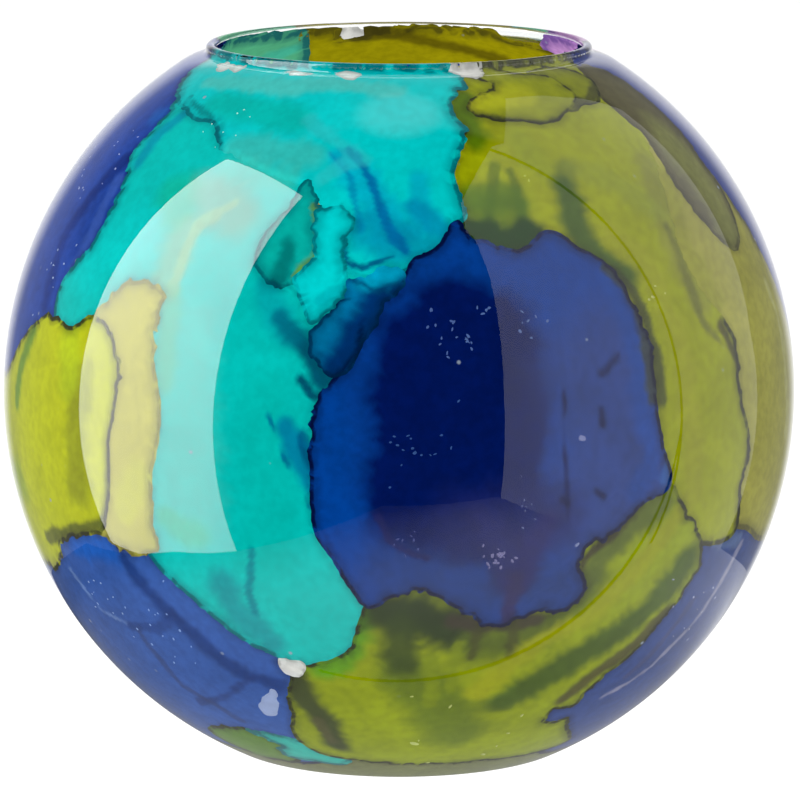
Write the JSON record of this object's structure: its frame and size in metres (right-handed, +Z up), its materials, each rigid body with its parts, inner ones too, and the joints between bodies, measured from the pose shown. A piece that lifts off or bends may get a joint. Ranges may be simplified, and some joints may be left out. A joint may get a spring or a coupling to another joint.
{
  "type": "ball vase",
  "caption": "Clear blown glass ball vase with a short lipped mouth and poured colour pools lining its inside.",
  "frame": {"origin": "centre of the circle that the vase rests on", "axes": "+Z up along the vase's axis, -Y towards the front"},
  "size_m": [0.203, 0.203, 0.182],
  "materials": {
    "clear_glass": "polished",
    "cobalt_ink": "translucent gloss",
    "turquoise_ink": "translucent gloss",
    "petrol_ink": "translucent gloss",
    "lime_ink": "translucent gloss",
    "lemon_ink": "translucent gloss",
    "olive_ink": "translucent gloss",
    "violet_ink": "translucent gloss",
    "white_ink": "gloss"
  },
  "bodies": {
    "root": {"cobalt_back": "cobalt_ink", "cobalt_front": "cobalt_ink", "cobalt_left": "cobalt_ink", "cobalt_lower_left": "cobalt_ink", "cobalt_lower_right": "cobalt_ink", "cobalt_right": "cobalt_ink", "glass_body": "clear_glass", "lemon_pool": "lemon_ink", "lime_back": "lime_ink", "lime_left": "lime_ink", "lime_lip_petal": "lime_ink", "lime_lower": "lime_ink", "lime_neck_petal": "lime_ink", "lime_right": "lime_ink", "lime_scrap": "lime_ink", "olive_back": "olive_ink", "olive_base": "olive_ink", "olive_shoulder": "olive_ink", "olive_veil": "olive_ink", "petrol_back": "petrol_ink", "petrol_lobes": "petrol_ink", "teal_back": "petrol_ink", "teal_leaf": "petrol_ink", "turquoise_back": "turquoise_ink", "turquoise_bead": "turquoise_ink", "turquoise_crown": "turquoise_ink", "turquoise_scrap": "turquoise_ink", "turquoise_wash": "turquoise_ink", "violet_blush": "violet_ink", "white_flecks": "white_ink"}
  },
  "joints": []
}
